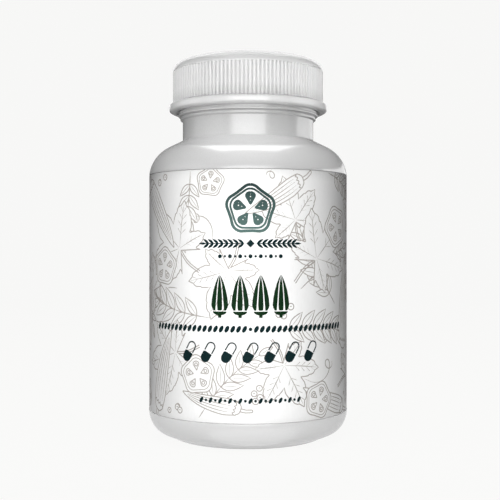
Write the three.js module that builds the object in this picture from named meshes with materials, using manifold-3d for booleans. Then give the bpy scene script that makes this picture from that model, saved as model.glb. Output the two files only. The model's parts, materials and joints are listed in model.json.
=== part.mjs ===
// A food-supplement bottle: a wide-mouth plastic bottle with a wraparound label, a ribbed screw cap with its
// sealing disc, and thirty hard capsules inside. Millimetres, +Z up. The origin is the centre of the foot ring,
// on the surface that the bottle stands on. The front of the label faces -Y.

import * as THREE from 'three';
import { mergeVertices } from 'three/addons/utils/BufferGeometryUtils.js';
import Module from 'manifold-3d';

const wasm = await Module();
wasm.setup();

// ---------- driving dimensions ----------

const TURN = 2 * Math.PI;
const QUARTER = TURN / 4;
const ROUND_SIDES = 60;
const ARC_STEPS = ROUND_SIDES / 2;

// Bottle body
const BODY_RADIUS = 26.5;
const WALL = 1.1;
const FOOT = { outer: 19.9, inner: 17.9 };
const HEEL = { radius: 21.6, bevel: 1.15, top: 7.6, end: THREE.MathUtils.degToRad(-6) };
const PUSH_UP = 2.0;
const FLOOR = 3.2;

// Label panel and label
const PANEL_DEPTH = 0.35;
const PANEL_BOTTOM = 7.25;
const PANEL_TOP = 69.55;
const LABEL = { bottom: 7.5, top: 69.3, inner: 26.24, outer: 26.4, seam: THREE.MathUtils.degToRad(6) };

// Shoulder and neck
const SHOULDER = { bottom: 68.4, width: 9.4, height: 9.15, from: 0.16, to: 1.29 };
const NECK_RADIUS = 17.67;
const NECK_FOOT = 78.9;
const BORE_RADIUS = 15.9;
const LOWER_RING = { radius: 18.15, bottom: 83.95, top: 84.55 };
const UPPER_RING = { radius: 18.7, bottom: 84.85, top: 85.2 };

// Threaded finish, 38 mm class with six turns to the inch
const THREAD_PITCH = 25.4 / 6;
const FINISH_RADIUS = 17.45;
const FINISH_THREAD_RADIUS = 18.5;
const LIP = { top: 96.9, round: 0.5 };
const THREAD_TURNS = 1.25;
const THREAD_START = 89.95;
const THREAD_SINK = 0.35;
const THREAD_WIDTH = { root: 2.1, crest: 0.95 };

// Cap
const TOTAL_HEIGHT = 100;
const CAP_RADIUS = 20.12;
const CAP_INNER_RADIUS = 18.85;
const CAP_THREAD_RADIUS = 17.83;
const CAP_CEILING = 98.3;
const CAP_EDGE = { bottom: 85.5, inner: 19.2 };
const FLANGE_RADIUS = 21.2;
const CAP_DOME = { width: 4.2, height: 3.0 };
const RIBS = { count: 120, outer: 20.0, valley: 19.7, crest: 0.42, bottom: 88.6, top: 97.0 };
const RIB_ROOT = { inner: 19.4, core: 19.6, sink: 0.25 };

// Sealing disc
const LINER = { radius: 18.3, bottom: 97.15, top: 98.05 };

// Capsules, size 0
const CAPSULE = { length: 21.7, shell: 3.82, body: 3.67, shellLength: 10.8, sides: 8 };
const CAPSULE_LAYERS = [
  [2, 2, 2, 1, 1],
  [2, 2, 2, 1, 1],
  [2, 2, 2, 1, 1],
  [2, 2, 2],
];
const ROW_PITCH = 8.6;
const LAYER_PITCH = 7.95;
const LAYER_TURN = THREE.MathUtils.degToRad(107);
const CAPSULE_GAP = 0.3;
const CAPSULE_END_GAP = 1.2;
const CAPSULE_SHIFT = 0.25;
const CAPSULE_YAW = THREE.MathUtils.degToRad(1.4);
const CAPSULE_SEED = 30;

// ---------- finishes ----------

const PEARL_PLASTIC = { color: 0xd4d5d6, roughness: 0.28, metalness: 0.35 };
const CAP_PLASTIC = { color: 0xe2e2e2, roughness: 0.38, metalness: 0.05 };
const LABEL_FILM = { color: 0xf8f8f6, roughness: 0.45, metalness: 0 };
const LINER_FOAM = { color: 0xf1efe8, roughness: 0.8, metalness: 0 };
const CAPSULE_SHELL = { color: 0x8d9663, roughness: 0.35, metalness: 0 };

// ---------- helpers ----------

const point = (radius, height) => new THREE.Vector2(radius, height);

// A quarter or part of an ellipse in the profile plane; angles run from the +radius direction to +height.
function curve(radius, height, width, rise, from, to, steps) {
  const ellipse = new THREE.EllipseCurve(radius, height, width, rise, from, to, to < from);
  return ellipse.getPoints(steps);
}

// A profile that starts and ends on the axis, turned about +Z. It runs up the outside and down the inside.
function turned(profile, sides = ROUND_SIDES) {
  return new THREE.LatheGeometry(profile, sides).rotateX(QUARTER);
}

// The same surface with shared vertices and without the flat triangles that a lathe leaves on its axis.
function welded(geometry) {
  const bare = geometry.clone();
  bare.deleteAttribute('normal');
  bare.deleteAttribute('uv');
  const merged = mergeVertices(bare, 1e-3);
  const index = merged.index.array;
  const kept = [];
  for (let i = 0; i < index.length; i += 3) {
    const [a, b, c] = [index[i], index[i + 1], index[i + 2]];
    if (a !== b && b !== c && c !== a) kept.push(a, b, c);
  }
  merged.setIndex(kept);
  return merged;
}

function solid(geometry) {
  const bare = welded(geometry);
  const vertProperties = new Float32Array(bare.attributes.position.array);
  const triVerts = new Uint32Array(bare.index.array);
  return new wasm.Manifold(new wasm.Mesh({ numProp: 3, vertProperties, triVerts }));
}

function surface(body) {
  const mesh = body.getMesh();
  const geometry = new THREE.BufferGeometry();
  geometry.setAttribute('position', new THREE.BufferAttribute(new Float32Array(mesh.vertProperties), 3));
  geometry.setIndex(Array.from(mesh.triVerts));
  return geometry;
}

function named(name, geometry, finish) {
  geometry.computeVertexNormals();
  const mesh = new THREE.Mesh(geometry, new THREE.MeshStandardMaterial(finish));
  mesh.name = name;
  return mesh;
}

// A right-hand screw ridge, made from a bar that is bent into a helix. Its root is sunk in the wall that
// carries it, its crest is narrower, and both of its ends run out into the wall.
function screwRidge(wallRadius, crestRadius, startHeight) {
  const stepsPerTurn = 40;
  const runOut = 0.07;
  const lowest = 0.12;
  const side = Math.sign(crestRadius - wallRadius);
  const rootRadius = wallRadius - side * THREAD_SINK;
  const bar = new THREE.BoxGeometry(THREAD_TURNS, 1, 1, THREAD_TURNS * stepsPerTurn, 1, 1);
  const place = bar.attributes.position;
  for (let i = 0; i < place.count; i++) {
    const turns = place.getX(i) + THREAD_TURNS / 2;
    const outward = place.getY(i) + 0.5;
    const fromEnd = Math.min(turns, THREAD_TURNS - turns);
    const height = THREE.MathUtils.clamp(fromEnd / runOut, lowest, 1) * outward;
    const radius = THREE.MathUtils.lerp(rootRadius, crestRadius, height);
    const width = THREE.MathUtils.lerp(THREAD_WIDTH.root, THREAD_WIDTH.crest, outward);
    const z = startHeight + THREAD_PITCH * turns - side * place.getZ(i) * width;
    place.setXYZ(i, radius * Math.cos(TURN * turns), radius * Math.sin(TURN * turns), z);
  }
  return solid(bar);
}

// ---------- bottle ----------

function bottle() {
  const panel = BODY_RADIUS - PANEL_DEPTH;
  const inner = panel - WALL;
  const shoulderAxis = BODY_RADIUS - SHOULDER.width;
  const base = [
    point(0, PUSH_UP),
    point(FOOT.inner - 2.2, PUSH_UP - 0.5),
    point(FOOT.inner, 0),
    point(FOOT.outer, 0),
  ];
  const heel = curve(
    HEEL.radius, HEEL.top, BODY_RADIUS - HEEL.radius, HEEL.top - HEEL.bevel, -QUARTER, HEEL.end, 4,
  );
  const labelPanel = [point(panel, PANEL_BOTTOM), point(panel, PANEL_TOP)];
  const shoulder = curve(
    shoulderAxis, SHOULDER.bottom, SHOULDER.width, SHOULDER.height, SHOULDER.from, SHOULDER.to, 6,
  );
  const shoulderEnd = shoulder[shoulder.length - 1];
  const neck = [
    point((shoulderEnd.x + NECK_RADIUS) / 2, shoulderEnd.y + 0.5),
    point(NECK_RADIUS + 0.15, NECK_FOOT - 0.35),
    point(NECK_RADIUS, NECK_FOOT),
    point(NECK_RADIUS, LOWER_RING.bottom - 0.35),
    point(LOWER_RING.radius, LOWER_RING.bottom),
    point(LOWER_RING.radius, LOWER_RING.top),
    point(LOWER_RING.radius - 0.15, LOWER_RING.top + 0.1),
    point(UPPER_RING.radius, UPPER_RING.bottom),
    point(UPPER_RING.radius, UPPER_RING.top),
  ];
  const finish = [
    point(FINISH_RADIUS, UPPER_RING.top + 0.6),
    point(FINISH_RADIUS, LIP.top - LIP.round),
    point(FINISH_RADIUS - LIP.round, LIP.top),
    point(BORE_RADIUS, LIP.top),
  ];
  const inside = [
    point(BORE_RADIUS, NECK_FOOT - WALL),
    ...curve(shoulderAxis, SHOULDER.bottom, inner - shoulderAxis, SHOULDER.height - WALL, SHOULDER.to, 0, 5),
    point(inner, HEEL.top),
    point(inner - 1.3, FLOOR + 1.5),
    point(inner - 3.8, FLOOR),
    point(0, FLOOR),
  ];
  const profile = [...base, ...heel, ...labelPanel, ...shoulder, ...neck, ...finish, ...inside];
  return surface(solid(turned(profile)).add(screwRidge(FINISH_RADIUS, FINISH_THREAD_RADIUS, THREAD_START)));
}

// ---------- label ----------

// An open wrap of film, with its seam gap at the back.
function label() {
  const from = QUARTER + LABEL.seam / 2;
  const to = QUARTER - LABEL.seam / 2 + TURN;
  const wrap = new THREE.Shape();
  wrap.absarc(0, 0, LABEL.outer, from, to, false);
  wrap.absarc(0, 0, LABEL.inner, to, from, true);
  const options = { depth: LABEL.top - LABEL.bottom, bevelEnabled: false, curveSegments: ARC_STEPS };
  return welded(new THREE.ExtrudeGeometry(wrap, options).translate(0, 0, LABEL.bottom));
}

// ---------- cap ----------

// A toothed ring whose teeth are the grip ribs, with flat crests and sharp valleys. It is sunk in the skirt's
// wall, and at both ends in the smooth bands above and below the ribs.
function gripRibs() {
  const pitch = TURN / RIBS.count;
  const halfCrest = (RIBS.crest / 2) * pitch;
  const teeth = [];
  for (let i = 0; i < RIBS.count; i++) {
    const corners = [
      [RIBS.valley, -pitch / 2],
      [RIBS.outer, -halfCrest],
      [RIBS.outer, halfCrest],
    ];
    for (const [radius, turn] of corners) {
      const angle = i * pitch + turn;
      teeth.push(point(radius * Math.cos(angle), radius * Math.sin(angle)));
    }
  }
  const outline = new THREE.Shape(teeth);
  const hole = new THREE.Path();
  hole.absarc(0, 0, RIB_ROOT.inner, 0, TURN, true);
  outline.holes.push(hole);
  const depth = RIBS.top - RIBS.bottom + 2 * RIB_ROOT.sink;
  const ring = new THREE.ExtrudeGeometry(outline, { depth, bevelEnabled: false, curveSegments: ARC_STEPS });
  return solid(ring.translate(0, 0, RIBS.bottom - RIB_ROOT.sink));
}

function cap() {
  const underside = [
    point(0, CAP_CEILING),
    point(CAP_INNER_RADIUS, CAP_CEILING),
    point(CAP_INNER_RADIUS, CAP_EDGE.bottom + 1.2),
    point(CAP_EDGE.inner, CAP_EDGE.bottom + 0.6),
    point(CAP_EDGE.inner, CAP_EDGE.bottom),
  ];
  const flange = [
    point(CAP_EDGE.inner + 0.3, CAP_EDGE.bottom),
    point(FLANGE_RADIUS - 0.25, CAP_EDGE.bottom + 0.75),
    point(FLANGE_RADIUS, CAP_EDGE.bottom + 1.05),
    point(FLANGE_RADIUS, CAP_EDGE.bottom + 1.5),
    point(FLANGE_RADIUS - 0.35, CAP_EDGE.bottom + 2.2),
    point(CAP_RADIUS + 0.2, RIBS.bottom),
  ];
  const core = [
    point(RIB_ROOT.core, RIBS.bottom),
    point(RIB_ROOT.core, RIBS.top),
    point(CAP_RADIUS, RIBS.top),
  ];
  const domeAxis = CAP_RADIUS - CAP_DOME.width;
  const domeBottom = TOTAL_HEIGHT - CAP_DOME.height;
  const dome = curve(domeAxis, domeBottom, CAP_DOME.width, CAP_DOME.height, 0, QUARTER, 5);
  const profile = [...underside, ...flange, ...core, ...dome, point(0, TOTAL_HEIGHT)];
  const thread = screwRidge(CAP_INNER_RADIUS, CAP_THREAD_RADIUS, THREAD_START - THREAD_PITCH / 2);
  return surface(solid(turned(profile)).add(gripRibs()).add(thread));
}

// ---------- liner ----------

function liner() {
  const thickness = LINER.top - LINER.bottom;
  const disc = new THREE.CylinderGeometry(LINER.radius, LINER.radius, thickness, ROUND_SIDES);
  return welded(disc.rotateX(QUARTER).translate(0, 0, LINER.bottom + thickness / 2));
}

// ---------- capsules ----------

// One closed capsule along X: a slimmer body pushed into a slightly wider shell, both with round ends.
function capsule() {
  const half = CAPSULE.length / 2;
  const rim = half - CAPSULE.shellLength;
  const bodyEnd = curve(0, CAPSULE.body - half, CAPSULE.body, CAPSULE.body, -QUARTER, 0, 3);
  const shellEnd = curve(0, half - CAPSULE.shell, CAPSULE.shell, CAPSULE.shell, 0, QUARTER, 3);
  const profile = [...bodyEnd, point(CAPSULE.body, rim), point(CAPSULE.shell, rim), ...shellEnd];
  profile[0].x = 0;
  profile[profile.length - 1].x = 0;
  return welded(turned(profile, CAPSULE.sides).rotateY(QUARTER));
}

// A small seeded generator, so that every build places the capsules alike. It returns -1 to 1.
function seededSpread(seed) {
  let state = seed;
  return () => {
    state = (state * 1664525 + 1013904223) % 4294967296;
    return (2 * state) / 4294967296 - 1;
  };
}

// Capsules lie in four crossed layers of rows; each is shifted and turned a little within its own space.
function capsules() {
  const spread = seededSpread(CAPSULE_SEED);
  const pile = new THREE.Group();
  const shape = capsule();
  let made = 0;
  CAPSULE_LAYERS.forEach((rows, layer) => {
    const bed = new THREE.Group();
    bed.rotation.z = layer * LAYER_TURN;
    bed.position.z = FLOOR + CAPSULE_GAP + CAPSULE.shell + layer * LAYER_PITCH;
    rows.forEach((count, row) => {
      const offset = Math.ceil(row / 2) * (row % 2 ? 1 : -1) * ROW_PITCH;
      for (let i = 0; i < count; i++) {
        const along = (i - (count - 1) / 2) * (CAPSULE.length + CAPSULE_END_GAP);
        made += 1;
        const piece = named(`capsule_${String(made).padStart(2, '0')}`, shape.clone(), CAPSULE_SHELL);
        piece.position.set(along + CAPSULE_SHIFT * spread(), offset, 0);
        piece.rotation.z = CAPSULE_YAW * spread() + (spread() > 0 ? Math.PI : 0);
        bed.add(piece);
      }
    });
    pile.add(bed);
  });
  return pile;
}

// ---------- assembly ----------

const part = new THREE.Group();
part.add(named('bottle', bottle(), PEARL_PLASTIC));
part.add(named('label', label(), LABEL_FILM));
part.add(named('cap', cap(), CAP_PLASTIC));
part.add(named('liner', liner(), LINER_FOAM));
part.add(capsules());

export default part;
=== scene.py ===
import json
import math
import random

import bpy
import numpy as np
from mathutils import Matrix, Vector

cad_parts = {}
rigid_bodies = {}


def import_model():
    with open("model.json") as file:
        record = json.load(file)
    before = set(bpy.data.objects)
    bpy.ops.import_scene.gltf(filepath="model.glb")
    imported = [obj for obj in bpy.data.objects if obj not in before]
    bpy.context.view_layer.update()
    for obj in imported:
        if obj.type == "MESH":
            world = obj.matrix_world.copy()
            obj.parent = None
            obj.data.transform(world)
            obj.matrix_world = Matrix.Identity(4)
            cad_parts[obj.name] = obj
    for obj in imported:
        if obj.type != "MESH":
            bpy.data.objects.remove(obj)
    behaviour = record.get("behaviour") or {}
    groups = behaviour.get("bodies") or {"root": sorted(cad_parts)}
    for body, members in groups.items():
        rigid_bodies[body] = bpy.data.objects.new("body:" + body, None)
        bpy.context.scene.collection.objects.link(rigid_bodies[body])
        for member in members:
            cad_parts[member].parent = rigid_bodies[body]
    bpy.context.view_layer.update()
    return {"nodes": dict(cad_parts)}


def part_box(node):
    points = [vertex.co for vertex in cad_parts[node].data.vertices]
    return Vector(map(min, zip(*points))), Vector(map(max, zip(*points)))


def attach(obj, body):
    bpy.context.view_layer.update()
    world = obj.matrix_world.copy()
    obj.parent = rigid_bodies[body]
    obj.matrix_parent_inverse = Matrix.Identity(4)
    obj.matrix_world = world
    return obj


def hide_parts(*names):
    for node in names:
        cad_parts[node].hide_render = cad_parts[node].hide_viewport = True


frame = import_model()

# A capsule bottle: pearl plastic bottle, printed wraparound label, ribbed screw cap with its sealing disc,
# and the capsules inside. Shapes are in millimetres and become metres in mesh_object; materials, lights and
# the camera are in metres. Angles round the bottle start at the front, -Y, and grow towards +X. The label's
# drawings use u, millimetres round the label, and v, the height.

MM = 0.001
TURN = 2 * math.pi

# ---- driving dimensions: millimetres and radians ----

BODY_RADIUS = 26.5
WALL = 1.1
FOOT_OUTER, FOOT_INNER = 19.9, 17.9
HEEL_RADIUS, HEEL_BEVEL, HEEL_TOP = 21.6, 1.15, 7.6
PUSH_UP, FLOOR = 2.0, 3.2
PANEL_RADIUS = BODY_RADIUS - 0.35
PANEL_BOTTOM, PANEL_TOP = 7.42, 69.38
LABEL_INNER, LABEL_OUTER = 26.24, 26.4
LABEL_BOTTOM, LABEL_TOP = 7.5, 69.3
LABEL_SEAM = math.radians(6)
SHOULDER_BOTTOM, SHOULDER_WIDTH, SHOULDER_HEIGHT = 68.4, 9.4, 9.3
SHOULDER_FROM, SHOULDER_TO = 0.16, 1.11
NECK_RADIUS, NECK_FOOT, BORE_RADIUS = 17.5, 78.6, 15.9
LOWER_RING = (18.15, 84.2, 84.8)
UPPER_RING = (18.7, 85.08, 85.45)
FINISH_RADIUS, FINISH_THREAD_RADIUS, LIP_TOP = 17.45, 18.5, 96.9
THREAD_PITCH, THREAD_TURNS, THREAD_START = 25.4 / 6, 1.25, 89.95
THREAD_ROOT, THREAD_CREST, THREAD_RUN_OUT = 2.1, 0.95, 0.07
CAP_RADIUS, CAP_INNER, CAP_THREAD_RADIUS = 20.12, 18.85, 17.83
CAP_CEILING, CAP_TOP = 98.3, 100.0
CAP_EDGE, CAP_EDGE_INNER, FLANGE_RADIUS = 86.1, 19.2, 21.2
DOME_WIDTH, DOME_HEIGHT = 4.2, 3.0
RIB_COUNT, RIB_DEPTH, RIB_CREST, RIB_CROWN = 120, 0.34, 0.56, 0.1
RIB_BOTTOM, RIB_TOP, RIB_FOOT_SLOPE, RIB_TOP_SLOPE = 88.6, 97.0, 2.5, 1.6
LINER_RADIUS, LINER_BOTTOM, LINER_TOP = 18.3, 97.15, 98.05
CAPSULE_LENGTH, CAPSULE_SHELL, CAPSULE_BODY, CAPSULE_SHELL_LENGTH = 21.7, 3.82, 3.67, 10.8

# How finely the turned pieces are divided.
BOTTLE_SIDES, SKIN_STEP, HOLLOW_STEP = 288, 1.2, 3.0
CAP_INNER_SIDES, CAP_SIDES, RIB_SIDES = 240, 480, 12 * RIB_COUNT
LINER_SIDES, CAPSULE_SIDES, BACKDROP_SIDES = 180, 40, 96
THREAD_STEP, RIB_END_STEP = 0.18, 0.08


# ---- small maths ----

def clamp(value):
    """The value, held between 0 and 1."""
    return max(0.0, min(1.0, value))


def ease(value):
    """From 0 to 1 with a soft start and a soft end."""
    value = clamp(value)
    return value * value * (3 - 2 * value)


def ellipse(radius, height, width, rise, start, end, steps):
    """Points on part of an ellipse in the profile plane."""
    points = []
    for k in range(steps + 1):
        angle = start + (end - start) * k / steps
        points.append((radius + width * math.cos(angle), height + rise * math.sin(angle)))
    return points


def softened(corners, steps=4):
    """An outline through (radius, height, fillet) corners, each rounded from at most its fillet away."""
    outline = [Vector(corners[0][:2])]
    for before, corner, after in zip(corners, corners[1:], corners[2:]):
        here = Vector(corner[:2])
        back, ahead = Vector(before[:2]) - here, Vector(after[:2]) - here
        start = here + back.normalized() * min(corner[2], back.length * 0.45)
        end = here + ahead.normalized() * min(corner[2], ahead.length * 0.45)
        for k in range(steps + 1):
            t = k / steps
            outline.append(start * (1 - t) ** 2 + here * 2 * t * (1 - t) + end * t * t)
    outline.append(Vector(corners[-1][:2]))
    return [tuple(p) for p in outline]


def divided(outline, longest):
    """The same outline with no step longer than the given length."""
    points = [outline[0]]
    for start, end in zip(outline, outline[1:]):
        steps = max(1, math.ceil(math.dist(start, end) / longest))
        for k in range(1, steps + 1):
            points.append(tuple(a + (b - a) * k / steps for a, b in zip(start, end)))
    return points


# ---- mesh building ----

def mesh_object(name, points, faces, material, smooth=True):
    """An object from millimetre points."""
    mesh = bpy.data.meshes.new(name)
    mesh.from_pydata((np.array(points, float) * MM).tolist(), [], faces)
    mesh.materials.append(material)
    mesh.polygons.foreach_set("use_smooth", [smooth] * len(mesh.polygons))
    mesh.update()
    obj = bpy.data.objects.new(name, mesh)
    bpy.context.scene.collection.objects.link(obj)
    return obj


def ring_points(radius, height, sides, relief):
    """Points round the axis, moved out by the relief if there is one."""
    points = []
    for i in range(sides):
        angle = TURN * i / sides
        reach = radius + (relief(angle, height) if relief else 0.0)
        points.append((reach * math.sin(angle), -reach * math.cos(angle), height))
    return points


def revolved(name, outlines, material):
    """A surface of revolution. Each outline is (points, sides, relief), and each starts where the last one
    ended. Where the number of sides changes, one ring of small fans joins the two."""
    points, faces, rings = [], [], []
    for outline, sides, relief in outlines:
        for radius, height in outline:
            if radius < 1e-6:
                rings.append([len(points)])
                points.append((0.0, 0.0, height))
            else:
                rings.append(list(range(len(points), len(points) + sides)))
                points.extend(ring_points(radius, height, sides, relief))
    for low, high in zip(rings, rings[1:]):
        faces.extend(ring_faces(low, high))
    return mesh_object(name, points, faces, material)


def ring_faces(low, high):
    """Faces between two rings whose counts divide each other, or between a ring and a pole."""
    count_low, count_high = len(low), len(high)
    if count_low == 1:
        return [(low[0], high[(i + 1) % count_high], high[i]) for i in range(count_high)]
    if count_high == 1:
        return [(low[i], low[(i + 1) % count_low], high[0]) for i in range(count_low)]
    sides = min(count_low, count_high)
    fine_low, fine_high = count_low // sides, count_high // sides
    faces = []
    for i in range(sides):
        bottom = [low[(i * fine_low + k) % count_low] for k in range(fine_low + 1)]
        top = [high[(i * fine_high + k) % count_high] for k in range(fine_high + 1)]
        if len(bottom) == len(top):
            faces.append((bottom[0], bottom[1], top[1], top[0]))
        elif len(bottom) > len(top):
            faces.append((bottom[-1], top[1], top[0]))
            faces.extend((a, b, top[0]) for a, b in zip(bottom, bottom[1:]))
        else:
            faces.append((bottom[0], bottom[1], top[-1]))
            faces.extend((b, a, bottom[0]) for a, b in zip(top, top[1:]))
    return faces


# ---- materials ----

def node_material(name, **inputs):
    """A Principled material, with its tree and shader. Uniform values sit on the shader's sockets."""
    material = bpy.data.materials.new(name)
    material.use_nodes = True
    tree = material.node_tree
    shader = tree.nodes["Principled BSDF"]
    for socket, value in inputs.items():
        shader.inputs[socket.replace("_", " ")].default_value = value
    return material, tree, shader


def noise_texture(tree, scale, detail=3.0, roughness=0.5, stretch=(1, 1, 1)):
    """Noise in the object's own coordinates, which are metres."""
    place = tree.nodes.new("ShaderNodeTexCoord")
    mapping = tree.nodes.new("ShaderNodeMapping")
    mapping.inputs["Scale"].default_value = stretch
    texture = tree.nodes.new("ShaderNodeTexNoise")
    texture.inputs["Scale"].default_value = scale
    texture.inputs["Detail"].default_value = detail
    texture.inputs["Roughness"].default_value = roughness
    tree.links.new(place.outputs["Object"], mapping.inputs["Vector"])
    tree.links.new(mapping.outputs["Vector"], texture.inputs["Vector"])
    return texture.outputs["Fac"]


def height_map(tree, low, high):
    """From 0 to 1 up the piece between two heights in metres."""
    place = tree.nodes.new("ShaderNodeTexCoord")
    split = tree.nodes.new("ShaderNodeSeparateXYZ")
    height = tree.nodes.new("ShaderNodeMapRange")
    height.inputs["From Min"].default_value = low
    height.inputs["From Max"].default_value = high
    tree.links.new(place.outputs["Object"], split.inputs["Vector"])
    tree.links.new(split.outputs["Z"], height.inputs["Value"])
    return height.outputs["Result"]


def graded(tree, factor, stops, target):
    """A colour ramp from the factor to the target socket; each stop is (position, colour)."""
    ramp = tree.nodes.new("ShaderNodeValToRGB")
    elements = ramp.color_ramp.elements
    while len(elements) < len(stops):
        elements.new(0.5)
    for element, (position, colour) in zip(elements, stops):
        element.position = position
        element.color = (*colour, 1)
    tree.links.new(factor, ramp.inputs["Fac"])
    tree.links.new(ramp.outputs["Color"], target)


def ranged(tree, factor, low, high, target):
    """The factor 0 to 1 spread over low to high."""
    spread = tree.nodes.new("ShaderNodeMapRange")
    spread.inputs["To Min"].default_value = low
    spread.inputs["To Max"].default_value = high
    tree.links.new(factor, spread.inputs["Value"])
    tree.links.new(spread.outputs["Result"], target)


def bumped(tree, shader, layers):
    """Stacked bumps on the shader; each layer is (height socket, strength, distance in metres)."""
    normal = None
    for height, strength, distance in layers:
        bump = tree.nodes.new("ShaderNodeBump")
        bump.inputs["Strength"].default_value = strength
        bump.inputs["Distance"].default_value = distance
        tree.links.new(height, bump.inputs["Height"])
        if normal:
            tree.links.new(normal, bump.inputs["Normal"])
        normal = bump.outputs["Normal"]
    tree.links.new(normal, shader.inputs["Normal"])


def pearl_plastic():
    """Blow-moulded silver plastic: mica flakes under a clear skin, with the mould's faint waviness."""
    material, tree, shader = node_material(
        "pearl_plastic", Metallic=0.35, Coat_Weight=0.4, Coat_Roughness=0.06)
    flakes = noise_texture(tree, 9000, detail=2)
    clouds = noise_texture(tree, 55, stretch=(1, 1, 0.35))
    graded(tree, flakes, [(0.3, (0.59, 0.59, 0.59)), (0.7, (0.69, 0.69, 0.69))], shader.inputs["Base Color"])
    ranged(tree, clouds, 0.2, 0.26, shader.inputs["Roughness"])
    waves = noise_texture(tree, 60, detail=1, stretch=(1, 1, 0.3))
    bumped(tree, shader, [(waves, 0.06, 0.0002), (flakes, 0.04, 0.00002)])
    return material


def multiplied(tree, target):
    """Multiplies two colours into the target and returns their sockets, taken by place because the mix node
    has others of the same names."""
    first, second, result = 6, 7, 2
    mix = tree.nodes.new("ShaderNodeMix")
    mix.data_type = "RGBA"
    mix.blend_type = "MULTIPLY"
    mix.inputs["Factor"].default_value = 1.0
    tree.links.new(mix.outputs[result], target)
    return mix.inputs[first], mix.inputs[second]


def cap_plastic():
    """Injection-moulded pearl plastic, a little lighter than the bottle, with painted shade at the ribs'
    feet.
    """
    material, tree, shader = node_material(
        "cap_plastic", Metallic=0.3, Coat_Weight=0.5, Coat_Roughness=0.05)
    flakes = noise_texture(tree, 7000, detail=2)
    clouds = noise_texture(tree, 120)
    base, painted_shade = multiplied(tree, shader.inputs["Base Color"])
    graded(tree, flakes, [(0.3, (0.67, 0.67, 0.67)), (0.7, (0.76, 0.76, 0.76))], base)
    # Painted shade at the ribs' feet: the base colour is darkest just above the flange and clears 3 mm up the
    # ribs.
    foot = height_map(tree, (RIB_BOTTOM - 0.1) * MM, (RIB_BOTTOM + 3.0) * MM)
    graded(tree, foot, [(0.0, (1, 1, 1)), (0.06, (0.78, 0.78, 0.78)), (1.0, (1, 1, 1))], painted_shade)
    ranged(tree, clouds, 0.22, 0.28, shader.inputs["Roughness"])
    bumped(tree, shader, [(flakes, 0.05, 0.00002)])
    return material


def label_film():
    """White printed film under a satin laminate."""
    material, tree, shader = node_material("label_film", Specular_IOR_Level=0.25)
    fibres = noise_texture(tree, 1800, detail=4, stretch=(1, 1, 0.4))
    stops = [(0.3, (0.9, 0.9, 0.895)), (0.7, (0.93, 0.93, 0.925))]
    graded(tree, fibres, stops, shader.inputs["Base Color"])
    ranged(tree, fibres, 0.38, 0.46, shader.inputs["Roughness"])
    bumped(tree, shader, [(noise_texture(tree, 90, detail=2), 0.1, 0.0002), (fibres, 0.05, 0.00002)])
    return material


def ink(name, dark, light, fade=None):
    """Printing ink, with the fine mottle of the film it lies on. A fade is two heights in metres: the colour
    turns from the first one at the lower height to the second at the upper."""
    material, tree, shader = node_material(name, Specular_IOR_Level=0.06)
    mottle = noise_texture(tree, 2500)
    if fade:
        graded(tree, height_map(tree, *fade), [(0.0, dark), (1.0, light)], shader.inputs["Base Color"])
    else:
        graded(tree, mottle, [(0.35, dark), (0.65, light)], shader.inputs["Base Color"])
    ranged(tree, mottle, 0.36, 0.48, shader.inputs["Roughness"])
    return material


def liner_foam():
    """Foamed sheet with fine cells."""
    material, tree, shader = node_material("liner_foam", Roughness=0.75)
    cells = noise_texture(tree, 2600, detail=4, roughness=0.7)
    graded(tree, cells, [(0.3, (0.8, 0.78, 0.73)), (0.7, (0.89, 0.88, 0.84))], shader.inputs["Base Color"])
    bumped(tree, shader, [(cells, 0.6, 0.0001)])
    return material


def capsule_shell():
    """A clear glossy shell over packed green-brown powder."""
    material, tree, shader = node_material(
        "capsule_shell", Coat_Weight=1.0, Coat_Roughness=0.05, Roughness=0.55)
    powder = noise_texture(tree, 1600, detail=6, roughness=0.75)
    stops = [(0.32, (0.13, 0.15, 0.05)), (0.5, (0.27, 0.29, 0.12)), (0.68, (0.45, 0.46, 0.24))]
    graded(tree, powder, stops, shader.inputs["Base Color"])
    bumped(tree, shader, [(powder, 0.25, 0.00008)])
    return material


PEARL = pearl_plastic()
CAP_PEARL = cap_plastic()
FILM = label_film()
LINE_INK = ink("line_ink", (0.36, 0.33, 0.305), (0.44, 0.41, 0.38))
GREEN_INK = ink("green_ink", (0.004, 0.018, 0.006), (0.008, 0.03, 0.011))
TEAL_INK = ink("teal_ink", (0.004, 0.015, 0.017), (0.008, 0.024, 0.026))
EMBLEM_INK = ink("emblem_ink", (0.1, 0.17, 0.155), (0.022, 0.043, 0.042), fade=(0.0535, 0.0655))
FOAM = liner_foam()
SHELL = capsule_shell()


# ---- bottle ----

def screw_relief(angle, height, start):
    """How far out the thread stands here, from 0 to 1. It starts a quarter turn from the front."""
    first = (angle / TURN - 0.25) % 1
    relief = 0.0
    for turns in (first, first + 1):
        distance = abs(height - start - THREAD_PITCH * turns)
        flank = ease((THREAD_ROOT / 2 - distance) / ((THREAD_ROOT - THREAD_CREST) / 2))
        run_out = ease(min(turns, THREAD_TURNS - turns) / THREAD_RUN_OUT)
        relief = max(relief, flank * run_out)
    return relief


def finish_relief(angle, height):
    """The thread on the bottle's finish."""
    return (FINISH_THREAD_RADIUS - FINISH_RADIUS) * screw_relief(angle, height, THREAD_START)


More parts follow.
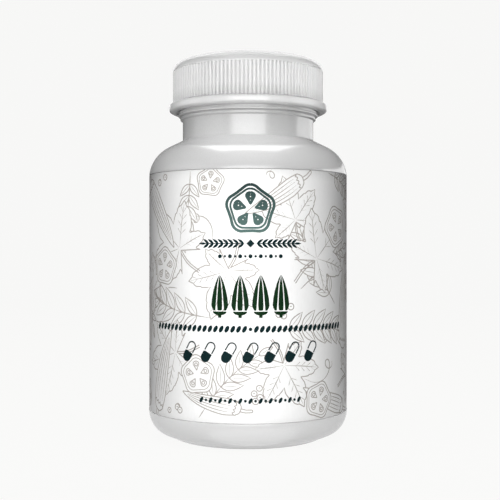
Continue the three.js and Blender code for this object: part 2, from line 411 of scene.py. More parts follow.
def bottle_body(shoulder_start):
    """The pushed-up underside, the foot ring, the heel, and the panel that the label lies in."""
    heel = ellipse(HEEL_RADIUS, HEEL_TOP, BODY_RADIUS - HEEL_RADIUS, HEEL_TOP - HEEL_BEVEL,
                   -TURN / 4, math.radians(-6), 16)
    under = softened([
        (0, PUSH_UP, 0), (FOOT_INNER - 5, PUSH_UP - 0.15, 4), (FOOT_INNER - 1.2, PUSH_UP - 0.7, 1),
        (FOOT_INNER, 0, 0.5), (FOOT_OUTER, 0, 0.5), (*heel[0], 0.35), (*heel[1], 0)])
    panel = softened([
        (*heel[-1], 0), (BODY_RADIUS - 0.02, PANEL_BOTTOM - 0.06, 0.05),
        (PANEL_RADIUS, PANEL_BOTTOM, 0.05), (PANEL_RADIUS, PANEL_TOP, 0.05),
        (shoulder_start[0] + 0.01, PANEL_TOP + 0.06, 0.05), (*shoulder_start, 0)])
    return under[:-1] + heel[1:-1] + panel[:-1]


def bottle_neck(shoulder_end):
    """The slope from the shoulder, the plain neck, its two bead rings and the low bead above them."""
    one_radius, one_bottom, one_top = LOWER_RING
    two_radius, two_bottom, two_top = UPPER_RING
    return softened([
        (*shoulder_end, 0), (NECK_RADIUS, NECK_FOOT, 0.18),
        (NECK_RADIUS, one_bottom - 0.3, 0.1), (one_radius, one_bottom, 0.15),
        (one_radius, one_top - 0.05, 0.15), (one_radius - 0.3, one_top + 0.15, 0.08),
        (two_radius, two_bottom + 0.05, 0.15), (two_radius, two_top + 0.05, 0.12),
        (two_radius - 0.25, two_top + 0.25, 0.1), (two_radius - 0.1, two_top + 0.8, 0.15),
        (FINISH_RADIUS, two_top + 1.05, 0.1), (FINISH_RADIUS, two_top + 1.3, 0)])


def bottle_hollow(shoulder_end):
    """The lip, the bore and the inside of the shoulder, wall and floor."""
    axis = BODY_RADIUS - SHOULDER_WIDTH
    inner = PANEL_RADIUS - WALL
    lip = softened([
        (FINISH_RADIUS, LIP_TOP - 0.6, 0), (FINISH_RADIUS, LIP_TOP, 0.5), (BORE_RADIUS, LIP_TOP, 0.35),
        (BORE_RADIUS, NECK_FOOT - WALL, 1.2), (shoulder_end[0] - 0.6, shoulder_end[1] - 1.05, 0)])
    shoulder = ellipse(axis, SHOULDER_BOTTOM, inner - axis, SHOULDER_HEIGHT - WALL, SHOULDER_TO, 0, 14)
    inside = softened([
        (*shoulder[-1], 0), (inner, HEEL_TOP, 1), (inner - 1.3, FLOOR + 1.5, 1.2),
        (inner - 3.8, FLOOR, 1), (0, FLOOR, 0)])
    return lip + shoulder[1:-1] + inside


def bottle():
    """The bottle, from its underside over the lip to its floor, with the thread as relief."""
    shoulder = ellipse(BODY_RADIUS - SHOULDER_WIDTH, SHOULDER_BOTTOM, SHOULDER_WIDTH, SHOULDER_HEIGHT,
                       SHOULDER_FROM, SHOULDER_TO, 22)
    outside = bottle_body(shoulder[0]) + shoulder + bottle_neck(shoulder[-1])[1:]
    finish = softened([(FINISH_RADIUS, UPPER_RING[2] + 1.3, 0), (FINISH_RADIUS, LIP_TOP - 0.6, 0)])
    skin = divided(outside, SKIN_STEP)[:-1] + divided(finish, THREAD_STEP)[:-1]
    hollow = divided(bottle_hollow(shoulder[-1]), HOLLOW_STEP)
    body = revolved("bottle_shell", [
        (skin, BOTTLE_SIDES, finish_relief), (hollow, BOTTLE_SIDES, None)], PEARL)
    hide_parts("bottle")
    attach(body, "bottle")


# ---- label ----

LABEL_HALF = LABEL_OUTER * (math.pi - LABEL_SEAM / 2)


def on_label(u, v, radius):
    """The point at this u, v and radius."""
    angle = u / LABEL_OUTER
    return (radius * math.sin(angle), -radius * math.cos(angle), v)


def label():
    """The film: a thin closed solid with a gap at its seam."""
    columns, rows = 420, 24
    rounding = 0.03
    points, faces = [], []
    edge = [(LABEL_BOTTOM, LABEL_INNER), (LABEL_BOTTOM, LABEL_OUTER - rounding)]
    flat = LABEL_TOP - LABEL_BOTTOM - 2 * rounding
    face = [(LABEL_BOTTOM + rounding + flat * k / rows, LABEL_OUTER) for k in range(rows + 1)]
    section = edge + face + [(LABEL_TOP, LABEL_OUTER - rounding), (LABEL_TOP, LABEL_INNER)]
    for i in range(columns + 1):
        u = LABEL_HALF * (2 * i / columns - 1)
        points.extend(on_label(u, v, radius) for v, radius in section)
    count = len(section)
    for i in range(columns):
        for k in range(count):
            here, above = i * count + k, i * count + (k + 1) % count
            faces.append((here, here + count, above + count, above))
    faces.append(tuple(range(count)))
    faces.append(tuple(columns * count + k for k in reversed(range(count))))
    film = mesh_object("label_sheet", points, faces, FILM)
    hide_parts("label")
    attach(film, "bottle")


# ---- label drawing ----

# Strokes stay between LABEL_LOW and LABEL_HIGH. CENTRE is the u of the front drawing's middle. The print
# stands a lift above the film and reaches SINK into it.
LABEL_LOW = (-LABEL_HALF + 0.05, LABEL_BOTTOM + 0.05)
LABEL_HIGH = (LABEL_HALF - 0.05, LABEL_TOP - 0.05)
HALF_ROUND = math.pi * LABEL_OUTER
CENTRE = 0.6
LINE, FINE_LIFT, BOLD_LIFT, SINK = 0.25, 0.012, 0.024, 0.03
STROKE_STEP, FEWEST_POINTS = 0.12, 4
PATCH_STEP, FEWEST_SLICES = 0.35, 6
SCATTER_SEED = 7


class Print:
    """Strokes and patches of one ink, as thin closed pieces that follow the label. What is drawn first lies
    in front: a closed shape hides the part of each later stroke that runs inside it."""

    def __init__(self, name, material, lift):
        self.name, self.material, self.lift = name, material, lift
        self.points, self.faces, self.shapes = [], [], []

    def stroke(self, place, path, width, taper=0.0):
        """A line through the points. It thins towards both ends over the taper share of its length."""
        path = np.array(divided(place.path(path), STROKE_STEP))
        seen = np.all((path > LABEL_LOW) & (path < LABEL_HIGH), axis=1)
        for shape in self.shapes if seen.any() else []:
            if np.all((path.min(axis=0) < shape.max(axis=0)) & (shape.min(axis=0) < path.max(axis=0))):
                seen &= ~within(path, shape)
        edges = np.flatnonzero(np.diff(np.concatenate([[0], seen.astype(int), [0]])))
        for start, end in zip(edges[::2], edges[1::2]):
            if end - start >= FEWEST_POINTS:
                self.ribbon(thinned(path[start:end]), width, taper)

    def ribbon(self, run, width, taper):
        """One unbroken piece of a stroke."""
        ahead = np.gradient(run, axis=0)
        side = np.stack([-ahead[:, 1], ahead[:, 0]], axis=1) / np.linalg.norm(ahead, axis=1)[:, None]
        along = np.linspace(0, 1, len(run))
        half = np.full(len(run), width / 2)
        if taper:
            half *= [0.3 + 0.7 * ease(min(t, 1 - t) / taper) for t in along]
        self.solid_strip(run - side * half[:, None], run + side * half[:, None])

    def patch(self, place, outline):
        """A filled convex outline, in upright slices that get narrower towards both ends."""
        outline = place.path(outline)
        low, high = min(p[0] for p in outline), max(p[0] for p in outline)
        upper, lower = [], []
        slices = max(FEWEST_SLICES, math.ceil((high - low) / PATCH_STEP))
        for k in range(slices + 1):
            u = (low + high) / 2 - (high - low) / 2 * math.cos(math.pi * (0.02 + 0.96 * k / slices))
            cuts = [v0 + (v1 - v0) * (u - u0) / (u1 - u0)
                    for (u0, v0), (u1, v1) in zip(outline, outline[1:] + outline[:1])
                    if (u0 - u) * (u1 - u) <= 0 and u0 != u1]
            upper.append((u, max(cuts)))
            lower.append((u, min(cuts)))
        self.solid_strip(lower, upper)

    def solid_strip(self, right, left):
        """A closed strip between two edges."""
        first = len(self.points)
        top, bottom = LABEL_OUTER + self.lift, LABEL_OUTER - SINK
        for a, b in zip(right, left):
            self.points.extend([on_label(*a, top), on_label(*b, top)])
            self.points.extend([on_label(*b, bottom), on_label(*a, bottom)])
        for base in range(first, len(self.points) - 4, 4):
            for k in range(4):
                after = (k + 1) % 4
                self.faces.append((base + k, base + 4 + k, base + 4 + after, base + after))
        last = len(self.points) - 4
        self.faces.append((first, first + 1, first + 2, first + 3))
        self.faces.append((last + 3, last + 2, last + 1, last))

    def shape(self, place, outline, details=(), width=LINE):
        """A closed outline with its inner lines, which are (path, share of the line width, taper)."""
        for path, share, taper in details:
            self.stroke(place, path, width * share, taper)
        self.stroke(place, outline + outline[:1], width)
        corners = np.array(place.path(outline))
        if np.all((corners.min(axis=0) < LABEL_HIGH) & (corners.max(axis=0) > LABEL_LOW)):
            self.shapes.append(corners)

    def done(self):
        """Makes one object of everything that was drawn."""
        piece = mesh_object(self.name, self.points, self.faces, self.material, smooth=False)
        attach(piece, "bottle")


def within(path, shape):
    """Which points of the path lie inside the closed shape."""
    u, v = path[:, :1], path[:, 1:]
    u0, v0 = shape[:, 0], shape[:, 1]
    u1, v1 = np.roll(u0, -1), np.roll(v0, -1)
    rise = np.where(v1 == v0, 1.0, v1 - v0)
    crossed = ((v0 > v) != (v1 > v)) & (u < u0 + (v - v0) * (u1 - u0) / rise)
    return crossed.sum(axis=1) % 2 == 1


def thinned(run):
    """The run without the points that its bends don't need."""
    least_bend, longest_squared = 0.13, 2.0
    kept = [0]
    for k in range(1, len(run) - 1):
        before, ahead = run[k] - run[kept[-1]], run[k + 1] - run[k]
        turn = abs(before[0] * ahead[1] - before[1] * ahead[0])
        bent = turn > least_bend * np.linalg.norm(before) * np.linalg.norm(ahead)
        if bent or before @ before > longest_squared:
            kept.append(k)
    return run[kept + [len(run) - 1]]


def between(before, start, end, after, t):
    """One coordinate of the smooth path from start to end, by Catmull-Rom."""
    return 0.5 * (2 * start + (end - before) * t + (2 * before - 5 * start + 4 * end - after) * t * t
                  + (3 * start - before - 3 * end + after) * t ** 3)


def curve(points, steps=8):
    """A smooth path through the points."""
    ends = [points[0]] + list(points) + [points[-1]]
    path = []
    for stretch in zip(ends, ends[1:], ends[2:], ends[3:]):
        for k in range(steps):
            path.append(tuple(between(*values, k / steps) for values in zip(*stretch)))
    return path + [tuple(points[-1])]


def polar(reach, degrees):
    """The point this far from the origin, in this direction."""
    return (reach * math.cos(math.radians(degrees)), reach * math.sin(math.radians(degrees)))


def ring(radius, sides, centre=(0, 0), stretch=1.0):
    """A circle, or an ellipse that is longer along x by the stretch."""
    angles = [TURN * k / sides for k in range(sides)]
    return [(centre[0] + radius * stretch * math.cos(a), centre[1] + radius * math.sin(a)) for a in angles]


def leaflet_outline(length, half_width, steps):
    """A narrow leaf from the origin along +x, pointed at both ends."""
    edge = [(length * j / steps, half_width * math.sin(math.pi * (j / steps) ** 0.8))
            for j in range(steps + 1)]
    return edge + [(x, -y) for x, y in edge[-2:0:-1]]


class Place:
    """A spot on the label with a turn in degrees and a size: local points become (u, v)."""

    def __init__(self, u, v, turn=0.0, size=1.0):
        self.u, self.v, self.size = u, v, size
        self.cos, self.sin = polar(1, turn)

    def at(self, x, y):
        """The (u, v) of a local point."""
        x, y = x * self.size, y * self.size
        return (self.u + x * self.cos - y * self.sin, self.v + x * self.sin + y * self.cos)

    def path(self, points):
        """The (u, v) of each local point."""
        return [self.at(*p) for p in points]


def pod_half_width(t, width):
    """The half width of a pod along its length, from the calyx at 0 to the tip at 1."""
    return width / 2 * (min(1.0, 0.8 + 1.3 * t) * (1 - t * t) ** 0.85 + 0.02)


def draw_pod(art, place, length=21.0, width=6.0, bend=2.4):
    """A ridged pod with its calyx and stem. The calyx is at the origin and the tip lies along +x."""
    def across(t, share):
        """A point by its share of the length, and of the half width from the middle line."""
        return (length * t, bend * math.sin(t * math.pi * 0.55) + pod_half_width(t, width) * share)

    steps = [k / 24 for k in range(25)]
    ridges = [([across(0.07 + (0.84 - 0.1 * abs(share)) * t, share) for t in steps], 0.8, 0.3)
              for share in (-0.62, -0.22, 0.2, 0.6)]
    hairs = [([across(0.12 + 0.09 * k, share), across(0.16 + 0.09 * k, share * 0.9)], 0.6, 0.4)
             for k in range(7) for share in (-0.42, 0.42)]
    calyx = [across(0, 1.02), (-0.7, width * 0.36), (-1.7, width * 0.17), (-1.7, -width * 0.17),
             (-0.7, -width * 0.36), across(0, -1.02)]
    teeth = []
    for k in range(25):
        depth = 0.75 - 0.75 * abs(math.cos(k / 24 * math.pi * 4))
        teeth.append((depth, across(0, 1.02 - 2.04 * k / 24)[1]))
    art.shape(place, curve(calyx) + teeth[::-1])
    art.shape(place, [across(t, 1) for t in steps] + [across(t, -1) for t in steps[::-1]], ridges + hairs)
    stem = [(-1.6, 0.55), (-3.6, 0.3), (-5.6, -0.5), (-5.9, -1.0),
            (-5.5, -1.45), (-3.6, -0.75), (-1.6, -0.55)]
    art.shape(place, curve(stem))


def lobe(reach, notch, lean, spread):
    """One side of a leaf's lobe: from the notch, past its shoulder and two teeth, to the pointed tip."""
    def edge(share, turn):
        """A point by its shares of the reach and the spread."""
        return polar(reach * share, lean + spread * turn)

    shoulder = curve([polar(notch, lean + spread), edge(0.6, 0.86), edge(0.73, 0.6)], 4)
    tooth = curve([edge(0.73, 0.53), edge(0.83, 0.4), edge(0.88, 0.24)], 4)
    return shoulder + tooth + [edge(0.88, 0.18), edge(0.95, 0.08), polar(reach, lean)]


def draw_leaf(art, place, reach=14.0):
    """A broad leaf of five pointed lobes, with its veins and stalk. The stalk joins at the origin."""
    lobes = [(reach * 0.62, -112), (reach * 0.86, -56), (reach, 0), (reach * 0.86, 56), (reach * 0.62, 112)]
    outline, veins = [], []
    for length, lean in lobes:
        outline += lobe(length, reach * 0.46, lean, -28) + lobe(length, reach * 0.46, lean, 28)[::-1]
        midrib = [polar(0.3, lean), polar(length * 0.5, lean + 1.5), polar(length * 0.93, lean)]
        veins.append((midrib, 0.85, 0.5))
        for along in (0.3, 0.45, 0.6, 0.74):
            for side in (-1, 1):
                tip = polar(length * (along + 0.13), lean + side * 22 * (0.88 - along) ** 0.8)
                veins.append(([polar(length * along, lean), tip], 0.6, 0.5))
    art.shape(place, outline + [(-reach * 0.05, 0)], veins)
    for start, middle, end in ((0.25, 1.0, 0.4), (-0.25, 0.45, -0.15)):
        art.stroke(place, curve([(-0.2, start), (-reach * 0.3, middle), (-reach * 0.6, end)]), LINE)


def draw_slice(art, place, radius=4.6, width=LINE):
    """A cut pod: a five-sided rim, an inner rim, five seed chambers and their seeds."""
    def rim(share, wave):
        return [polar(share * radius * (1 + wave * math.cos(math.radians(5 * a))), a)
                for a in range(0, 360, 6)]

    inner = rim(0.85, 0.06)
    details = [(inner + inner[:1], 0.7, 0)]
    for k in range(5):
        chamber = [polar(radius * (0.49 + 0.24 * math.cos(a)),
                         72 * k + 24 * math.sin(a) * (0.62 + 0.38 * math.cos(a)))
                   for a in (TURN * j / 30 for j in range(31))]
        seed = ring(radius * 0.085, 12, polar(radius * 0.55, 72 * k))
        details += [(chamber, 0.9, 0), (seed + seed[:1], 0.9, 0)]
    art.shape(place, rim(1.0, 0.075), details, width)


def draw_sprig(art, place, length=24.0, pairs=6, bend=3.0):
    """A slender stem with pairs of narrow leaflets and one at its tip."""
    def stem(t):
        return (length * t, bend * math.sin(t * math.pi * 0.7))

    for k in range(pairs * 2, -1, -1):
        t = 0.16 + 0.84 * (k // 2) / pairs
        (x0, y0), (x1, y1) = stem(t - 0.02), stem(t + 0.02)
        lean = math.degrees(math.atan2(y1 - y0, x1 - x0)) + (0 if k == pairs * 2 else 44 if k % 2 else -44)
        reach = length * 0.26 * (1 - 0.5 * abs(t - 0.45))
        turn = math.degrees(math.atan2(place.sin, place.cos)) + lean
        leaflet = Place(*place.at(*stem(t)), turn, place.size)
        rib = [(0, 0), (reach * 0.4, 0), (reach * 0.85, 0)]
        art.shape(leaflet, leaflet_outline(reach, reach * 0.19, 12), [(rib, 0.6, 0.5)])
    art.stroke(place, [stem(k / 30) for k in range(31)], LINE, 0.3)


def draw_tendril(art, place, size=6.0, turns=1.6):
    """A spiral tendril that straightens as it leaves its coil."""
    coil = []
    for k in range(46):
        t = k / 45
        x, y = polar(size * (0.12 + 0.5 * t), 360 * turns * (1 - t) ** 1.2)
        coil.append((x + size * 1.4 * t * t, y + size * 0.3 * t * t))
    art.stroke(place, coil, LINE, 0.3)


def draw_seeds(art, place, count, rng):
    """A loose cluster of round seeds, each with a small eye."""
    for _ in range(count):
        centre = (rng.uniform(-2.6, 2.6), rng.uniform(-1.8, 1.8))
        radius = rng.uniform(0.6, 0.85)
        eye = [(centre[0] - 0.22, centre[1]), (centre[0], centre[1] + 0.12), (centre[0] + 0.22, centre[1])]
        art.shape(place, ring(radius, 20, centre), [(eye, 0.8, 0)])


def line_art():
    """Leaves, pods, cut pods, sprigs, tendrils and seeds in pale line, the nearest first. Each is given by
    u, v, turn and size, and the seeds by u, v and count. The layout fills half the label and is repeated on
    the other half."""
    art = Print("print_line_art", LINE_INK, FINE_LIFT)
    rng = random.Random(SCATTER_SEED)
    slices = [(-24.5, 45.5, 12, 1.0), (27, 55.5, 40, 1.1), (-13, 19, 25, 1.0), (37.5, 40, 0, 0.9),
              (19.5, 12.3, 0, 0.95), (-37.5, 12, 50, 0.9), (-9.5, 66.3, 10, 0.75)]
    pods = [(-33, 66, -58, 0.95), (-27.5, 10.5, 66, 0.95), (31.5, 26, 80, 1.0), (13, 66.5, 204, 0.75),
            (-36, 25, 72, 0.85), (30, 9.5, 152, 0.8), (-3, 11.2, 160, 0.7)]
    leaves = [(-18.5, 50, 138, 1.0), (18.5, 47.5, 42, 1.05), (-20, 24, 196, 0.95), (9, 21.5, -62, 0.85),
              (40, 58, 96, 0.8), (35, 17, 18, 0.9), (-5, 44.5, 250, 0.9), (-31, 39.5, 152, 0.8),
              (12, 57, 108, 0.8)]
    sprigs = [(-9, 33, 158, 1.05), (6.5, 30, -10, 1.0), (26, 36, 118, 0.95), (-12.5, 8.5, 40, 0.9),
              (-15, 69, 252, 0.8), (40, 46, -60, 0.8), (23, 69, -30, 0.8), (13.5, 40, 24, 0.85)]
    tendrils = [(-27, 34, 30, 0.8), (24, 21, 190, 0.8), (-13.5, 58, 300, 0.6), (5, 68, 0, 0.55),
                (-41, 50, 0, 0.7)]
    seeds = [(-40, 33, 4), (23.5, 28.5, 5), (-20, 11, 4), (33.5, 47.5, 4), (-25, 67, 3), (1, 14.5, 4),
             (10, 34, 3)]
    drawings = [(slices, draw_slice), (pods, draw_pod), (leaves, draw_leaf), (sprigs, draw_sprig),
                (tendrils, draw_tendril)]
    for around in (0.0, HALF_ROUND, -HALF_ROUND):
        for layout, draw in drawings:
            for u, v, turn, size in layout:
                draw(art, Place(u + around, v, turn, size))
        for u, v, count in seeds:
            draw_seeds(art, Place(u + around, v), count, rng)
    art.done()


def green_print():
    """The bold row of four upright pods in the middle of the front."""
    bold = Print("print_green_pods", GREEN_INK, BOLD_LIFT)
    width, step, foot, length = 4.3, 5.05, 34.9, 8.7
    for k in range(4):
        place = Place(CENTRE + (k - 1.5) * step, foot, 90)
        for low, high in ((-1.0, -0.5), (-0.31, 0.31), (0.5, 1.0)):
            sides = [[(length * j / 20 * 0.99, pod_half_width(j / 20 * 0.99, width) * share)
                      for j in range(21)] for share in (low, high)]
            bold.patch(place, sides[0] + sides[1][::-1])
        arc = [math.pi * j / 12 for j in range(13)]
        cup = [(-0.22 - 0.95 * math.sin(a), width * 0.41 * math.cos(a)) for a in arc]
        bold.patch(place, cup)
        bold.patch(place, [(-1.0, 0.45), (-1.75, 0.4), (-1.75, -0.4), (-1.0, -0.45)])
    bold.done()


def dark_print():
    """The emblem and the ornament rows above and below the pods, in dark teal."""
    emblem = Print("print_emblem", EMBLEM_INK, BOLD_LIFT)
    draw_slice(emblem, Place(CENTRE, 59.5, 90), radius=5.6, width=0.72)
    emblem.done()
    dark = Print("print_teal_marks", TEAL_INK, BOLD_LIFT)
    dark.patch(Place(CENTRE, 51.2, 45), [(-0.7, -0.7), (0.7, -0.7), (0.7, 0.7), (-0.7, 0.7)])
    for side in (0, 180):
        garland = Place(CENTRE, 51.2, side)
        dark.stroke(garland, [(1.5, 0), (7, 0), (12.0, 0)], 0.2)
        for k in range(8):
            for lean in (-36, 36):
                leaf = Place(*garland.at(1.6 + 1.25 * k, 0), side + lean)
                dark.patch(leaf, leaflet_outline(1.95, 0.66 / 2, 8))
        dark.patch(Place(*garland.at(11.2, 0), side), leaflet_outline(1.9, 0.6 / 2, 8))
    for k in range(-6, 7):
        dark.patch(Place(CENTRE + 1.25 * k, 48.1), ring(0.3 if k % 2 else 0.5, 12))
    for k in range(-19, 20):
        if k:
            dark.patch(Place(CENTRE + 1.44 * k, 30.4, 62), ring(0.5, 14, stretch=1.9))
    dark.patch(Place(CENTRE, 30.4), ring(0.45, 14))
    for k in range(-3, 4):
        capsule_sign(dark, Place(CENTRE + 5.3 * k, 24.7, 60))
    for k in range(-10, 11):
        marks = ring(0.36, 10) if k % 2 else ring(0.42, 12, stretch=1.9)
        dark.patch(Place(CENTRE + 1.24 * k, 13.0, 62), marks)
    dark.done()


def pill(length, radius, start=-1.0, end=1.0):
    """A stadium outline along x, or the part of it between start and end of its half length."""
    half = length / 2 - radius
    cap_end = [(half + radius * math.cos(a), radius * math.sin(a))
               for a in (-TURN / 4 + TURN / 2 * k / 12 for k in range(13))]
    low, high = start * length / 2, end * length / 2
    return [(max(low, min(high, x)), y) for x, y in cap_end + [(-x, -y) for x, y in cap_end]]


def capsule_sign(dark, place):
    """A small capsule: one half filled, the other in outline."""
    length, radius, line = 5.5, 1.2, 0.32
    dark.patch(place, pill(length, radius, -1.0, -0.03))
    half = [p for p in pill(length - line, radius - line / 2) if p[0] > 0]
    dark.stroke(place, [(0.1, line / 2 - radius)] + half + [(0.1, radius - line / 2)], line)


# ---- cap ----

def rib_relief(angle, height):
    """A rounded rib and the narrow groove beside it, which runs out at the top and at the flange."""
    share = abs((angle / TURN * RIB_COUNT) % 1 - 0.5) * 2
    groove = RIB_DEPTH * clamp((share - RIB_CREST) / (1 - RIB_CREST))
    crown = RIB_CROWN * min(1, share / RIB_CREST) ** 2
    top = (RIB_TOP - height) * RIB_TOP_SLOPE
    foot = (height - RIB_BOTTOM) * RIB_FOOT_SLOPE
    return -max(0.0, min(groove + crown, top, foot))


def cap_thread_relief(angle, height):
    """The thread inside the cap, half a pitch below the bottle's."""
    return -(CAP_INNER - CAP_THREAD_RADIUS) * screw_relief(angle, height, THREAD_START - THREAD_PITCH / 2)


def cap_inside():
    """The ceiling, the threaded bore and the wider mouth, out to the cap's edge."""
    ceiling = softened([(0, CAP_CEILING, 0), (CAP_INNER, CAP_CEILING, 0.3), (CAP_INNER, CAP_CEILING - 1, 0)])
    bore = [(CAP_INNER, CAP_CEILING - 1), (CAP_INNER, CAP_EDGE + 0.9)]
    mouth = softened([
        (CAP_INNER, CAP_EDGE + 0.9, 0), (CAP_INNER, CAP_EDGE + 0.85, 0.05),
        (CAP_EDGE_INNER, CAP_EDGE + 0.5, 0.15), (CAP_EDGE_INNER, CAP_EDGE, 0.1),
        (CAP_EDGE_INNER + 0.15, CAP_EDGE, 0)])
    return divided(ceiling, 2.5)[:-1] + divided(bore, THREAD_STEP)[:-1] + mouth


def cap_flange():
    """The flared skirt, from the cap's edge up to the ribs' feet."""
    return softened([
        (CAP_EDGE_INNER + 0.15, CAP_EDGE, 0), (CAP_EDGE_INNER + 1.1, CAP_EDGE + 0.05, 0.2),
        (FLANGE_RADIUS - 0.2, CAP_EDGE + 0.35, 0.3), (FLANGE_RADIUS, CAP_EDGE + 0.95, 0.4),
        (FLANGE_RADIUS - 0.05, CAP_EDGE + 2.05, 0.3), (CAP_RADIUS + 0.35, RIB_BOTTOM - 0.15, 0.4),
        (CAP_RADIUS, RIB_BOTTOM, 0.1), (CAP_RADIUS, RIB_BOTTOM + 0.02, 0)])[1:-1]


def cap_ribs():
    """The ribbed band, in fine rows at both ends, where its grooves run out."""
    foot = divided([(CAP_RADIUS, RIB_BOTTOM + 0.02), (CAP_RADIUS, RIB_BOTTOM + 0.25)], RIB_END_STEP)
    grip = divided([foot[-1], (CAP_RADIUS, RIB_TOP - 0.4)], 2.0)
    crown = divided([grip[-1], (CAP_RADIUS, RIB_TOP)], RIB_END_STEP)
    return foot + grip[1:] + crown[1:]


def cap_top():
    """The rounded shoulder and the flat top."""
    dome = ellipse(CAP_RADIUS - DOME_WIDTH, CAP_TOP - DOME_HEIGHT, DOME_WIDTH, DOME_HEIGHT,
                   0.03, TURN / 4, 22)
    return dome + divided([dome[-1], (1.0, CAP_TOP)], 3.5)[1:] + [(0, CAP_TOP)]


def cap():
    """The cap, from its ceiling over its edge to its top."""
    piece = revolved("screw_cap", [
        (cap_inside(), CAP_INNER_SIDES, cap_thread_relief), (cap_flange(), CAP_SIDES, None),
        (cap_ribs(), RIB_SIDES, rib_relief), (cap_top(), CAP_SIDES, None)], CAP_PEARL)
    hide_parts("cap")
    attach(piece, "cap")


def liner():
    """The foamed disc that seals the mouth."""
    outline = softened([
        (0, LINER_BOTTOM, 0), (LINER_RADIUS, LINER_BOTTOM, 0.15), (LINER_RADIUS, LINER_TOP, 0.15),
        (0, LINER_TOP, 0)], steps=3)
    disc = revolved("sealing_disc", [(divided(outline, 1.5), LINER_SIDES, None)], FOAM)
    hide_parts("liner")
    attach(disc, "liner")


# ---- capsules ----

def capsule_outline():
    """Body end to shell end, along the capsule's axis, with the shell's rolled rim between them."""
    half = CAPSULE_LENGTH / 2
    rim = half - CAPSULE_SHELL_LENGTH
    body = ellipse(0, CAPSULE_BODY - half, CAPSULE_BODY, CAPSULE_BODY, -TURN / 4, 0, 12)
    shell = ellipse(0, half - CAPSULE_SHELL, CAPSULE_SHELL, CAPSULE_SHELL, 0, TURN / 4, 12)
    step = softened([
        (*body[-1], 0), (CAPSULE_BODY, rim, 0.05), (CAPSULE_SHELL, rim, 0.06), (*shell[0], 0)], steps=3)
    return [(0, -half)] + body[1:-1] + divided(step, 1.5) + shell[1:-1] + [(0, half)]


def capsule_axis(node):
    """The capsule's middle and the direction to its wider shell end, from the CAD node."""
    spots = [v.co for v in frame["nodes"][node].data.vertices]
    low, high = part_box(node)
    middle = (low + high) / 2
    tip = max(spots, key=lambda p: (p - middle).length)
    along = (tip - middle).normalized()
    beyond = CAPSULE_LENGTH * MM / 8

    def girth(side):
        """The capsule's radius on this side of its middle."""
        near = [p for p in spots if (p - middle).dot(along) * side > beyond]
        return max(((p - middle) - along * (p - middle).dot(along)).length for p in near)

    return middle, (along if girth(1) > girth(-1) else -along)


def capsules():
    """A capsule where each CAD capsule lies."""
    outline = capsule_outline()
    for node in sorted(name for name in frame["nodes"] if name.startswith("capsule_")):
        middle, along = capsule_axis(node)
        piece = revolved(node + "_dressed", [(outline, CAPSULE_SIDES, None)], SHELL)
        turn = Vector((0, 0, 1)).rotation_difference(along)
        piece.data.transform(turn.to_matrix().to_4x4())
        piece.data.transform(Matrix.Translation(middle))
        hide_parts(node)
        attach(piece, "bottle")


bottle()
label()
line_art()
green_print()
dark_print()
cap()
liner()
capsules()


# ---- floor, light and camera ----

EYE_DISTANCE, EYE_HEIGHT = 0.265, 0.05035
FOCAL_PIXELS, FRAME_PIXELS, SENSOR = 985.0, 500.0, 36.0
HORIZON_ROW, AXIS_COLUMN = 247.0, 248.0
LIGHTS_AIM = Vector((0, 0, 0.055))
GLOW_SIZE, GLOW_HEIGHT = (0.144, 0.144), 0.0002


def backdrop():
    """A pale floor that sweeps up into a round pale wall. Most of its brightness is its own, so it stays even
    and the bottle leaves only a soft shade on it. It doesn't light the bottle."""
    material, tree, shader = node_material("paper", Roughness=0.9, Specular_IOR_Level=0.0)
    speckle = noise_texture(tree, 300, detail=2)
    stops = [(0.3, (0.03, 0.03, 0.029)), (0.7, (0.034, 0.034, 0.033))]
    graded(tree, speckle, stops, shader.inputs["Base Color"])
    shader.inputs["Emission Color"].default_value = (0.93, 0.93, 0.922, 1)
    shader.inputs["Emission Strength"].default_value = 1.0
    reach, rise, bend = 1200, 1600, 500
    section = [(0, 0)] + ellipse(reach - bend, bend, bend, bend, -TURN / 4, 0, 12) + [(reach, rise)]
    sweep = revolved("backdrop", [(section, BACKDROP_SIDES, None)], material)
    sweep.visible_diffuse = False
    sweep.visible_glossy = False
    return sweep


def group(name, objects):
    """A collection that a light shines on, or is blocked by, alone."""
    collection = bpy.data.collections.new(name)
    for obj in objects:
        collection.objects.link(obj)
    return collection


def lamp(name, shape, size, radiance, receivers):
    """An area light of even brightness that the camera doesn't see; sizes are in metres."""
    light = bpy.data.lights.new(name, "AREA")
    light.shape = shape
    light.size, light.size_y = size
    area = size[0] * size[1] * (1 if shape == "RECTANGLE" else math.pi / 4)
    light.energy = radiance * math.pi * area
    obj = bpy.data.objects.new(name, light)
    obj.visible_camera = False
    obj.light_linking.receiver_collection = receivers
    bpy.context.scene.collection.objects.link(obj)
    return obj


def softbox(name, azimuth, elevation, distance, size, radiance, receivers, rays):
    """A rectangular light that faces the bottle. Azimuth 0 is at the front and grows towards +X. Surfaces are
    only "lit" by it, or it is only "reflected" in them."""
    box = lamp(name, "RECTANGLE", size, radiance, receivers)
    a, e = math.radians(azimuth), math.radians(elevation)
    outward = Vector((math.sin(a) * math.cos(e), -math.cos(a) * math.cos(e), math.sin(e)))
    box.location = LIGHTS_AIM + distance * outward
    box.rotation_mode = "QUATERNION"
    box.rotation_quaternion = (LIGHTS_AIM - box.location).to_track_quat("-Z", "Y")
    box.visible_glossy = rays == "reflected"
    box.visible_diffuse = rays == "lit"
    return box


def floor_glow(name, size, place, radiance, receivers):
    """The pale floor's own light, from an oval just above it, centred on the place."""
    oval = lamp(name, "ELLIPSE", size, radiance, receivers)
    oval.location = (*place, GLOW_HEIGHT)
    oval.rotation_euler = (math.pi, 0, 0)
    return oval


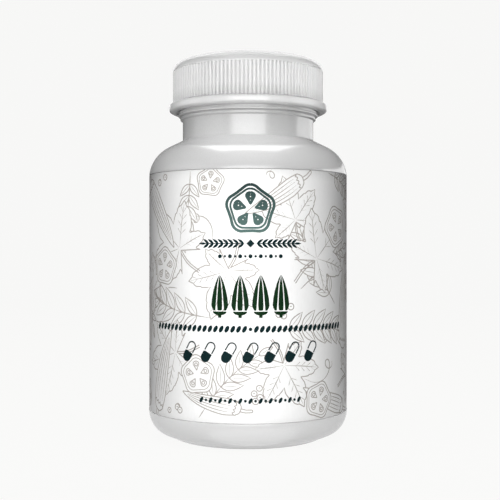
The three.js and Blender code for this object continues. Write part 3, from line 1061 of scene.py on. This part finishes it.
def label_lights(printed):
    """A near key light for the front of the label, and softer light round it."""
    softbox("label_key", -6, 0, 0.13, (0.1, 0.12), 5.2, printed, "lit")
    softbox("label_right", 75, 0, 0.15, (0.08, 0.12), 0.55, printed, "lit")
    softbox("label_back", 180, 5, 0.4, (0.08, 0.2), 20, printed, "lit")
    floor_glow("label_floor", GLOW_SIZE, (0, 0), 0.5, printed)


def bottle_lights(bottle_too, bottle_and_floor):
    """Wide soft light for the pearl plastic, and panels for it to reflect."""
    softbox("bottle_front", 0, 5, 0.25, (0.2, 0.25), 2.9, bottle_too, "lit")
    softbox("bottle_right", 50, 5, 0.25, (0.2, 0.25), 1.2, bottle_too, "lit")
    softbox("bottle_left", -50, 5, 0.25, (0.2, 0.25), 1.8, bottle_too, "lit")
    softbox("bottle_back", 180, 10, 0.4, (0.4, 0.3), 4.0, bottle_too, "lit")
    top = softbox("bottle_top", 0, 68, 0.45, (0.4, 0.4), 3.9, bottle_and_floor, "lit")
    # The cap and the label throw no shade from above.
    top.light_linking.blocker_collection = bottle_too
    floor_glow("bottle_floor", GLOW_SIZE, (0, 0), 0.6, bottle_too)
    shine = floor_glow("bottle_shine", (0.034, 0.014), (0.003, -0.0285), 0.3, bottle_too)
    shine.visible_diffuse = False
    softbox("bottle_panel_front", 1, 3, 0.35, (0.38, 0.27), 1.0, bottle_too, "reflected")
    softbox("bottle_panel_left", -75, 5, 0.35, (0.42, 0.35), 0.24, bottle_too, "reflected")
    softbox("bottle_panel_right", 126, 3, 0.35, (0.46, 0.16), 1.0, bottle_too, "reflected")
    softbox("bottle_panel_over", 180, 75, 0.5, (0.42, 0.48), 1.8, bottle_too, "reflected")


def cap_lights(cap_only):
    """Light from both sides, which draws the ribs, and panels for the cap to reflect."""
    softbox("cap_front", 0, 5, 0.25, (0.2, 0.25), 0.3, cap_only, "lit")
    softbox("cap_right", 46, 5, 0.25, (0.16, 0.25), 5.9, cap_only, "lit")
    softbox("cap_left", -48, 5, 0.25, (0.16, 0.25), 5.6, cap_only, "lit")
    softbox("cap_back", 180, 10, 0.4, (0.4, 0.3), 4.0, cap_only, "lit")
    softbox("cap_top", 0, 75, 0.45, (0.4, 0.4), 0.8, cap_only, "lit")
    softbox("cap_panel_front", 1, 3, 0.35, (0.38, 0.27), 1.3, cap_only, "reflected")
    softbox("cap_panel_right", 90, 3, 0.35, (0.26, 0.27), 0.6, cap_only, "reflected")
    softbox("cap_panel_left", -90, 3, 0.35, (0.26, 0.27), 0.6, cap_only, "reflected")
    softbox("cap_panel_behind", 180, 32, 0.5, (0.6, 0.5), 0.9, cap_only, "reflected")
    softbox("cap_panel_over", 180, 72, 0.5, (0.5, 0.4), 0.75, cap_only, "reflected")


def surroundings():
    """A dim even world, which only reflections show, and plain colours in the picture."""
    world = bpy.data.worlds.new("studio")
    world.use_nodes = True
    background = world.node_tree.nodes["Background"]
    background.inputs["Color"].default_value = (1.0, 1.0, 0.995, 1)
    background.inputs["Strength"].default_value = 0.2
    bpy.context.scene.world = world
    world.cycles_visibility.diffuse = False
    bpy.context.scene.view_settings.view_transform = "Standard"


def studio(sweep):
    """Each light is for the label, for the cap, or for the bottle with everything else."""
    everything = [obj for obj in bpy.context.scene.objects if obj.type == "MESH" and obj != sweep]
    printed = group("printed", [obj for obj in everything if obj.name.startswith(("label", "print"))])
    cap_only = group("cap_only", [obj for obj in everything if obj.name.startswith("screw_cap")])
    taken = [*printed.objects, *cap_only.objects]
    others = [obj for obj in everything if obj not in taken]
    bottle_too = group("bottle_too", others)
    bottle_and_floor = group("bottle_and_floor", [*others, sweep])
    label_lights(printed)
    bottle_lights(bottle_too, bottle_and_floor)
    cap_lights(cap_only)
    surroundings()


def camera():
    """Level, straight in front of the bottle. The small shift sets the bottle's place in the frame."""
    data = bpy.data.cameras.new("camera")
    data.sensor_width = SENSOR
    data.lens = FOCAL_PIXELS / FRAME_PIXELS * SENSOR
    data.shift_x = (FRAME_PIXELS / 2 - AXIS_COLUMN) / FRAME_PIXELS
    data.shift_y = (HORIZON_ROW - FRAME_PIXELS / 2) / FRAME_PIXELS
    eye = bpy.data.objects.new("camera", data)
    eye.location = (0, -EYE_DISTANCE, EYE_HEIGHT)
    eye.rotation_euler = (TURN / 4, 0, 0)
    bpy.context.scene.collection.objects.link(eye)
    bpy.context.scene.camera = eye


studio(backdrop())
camera()
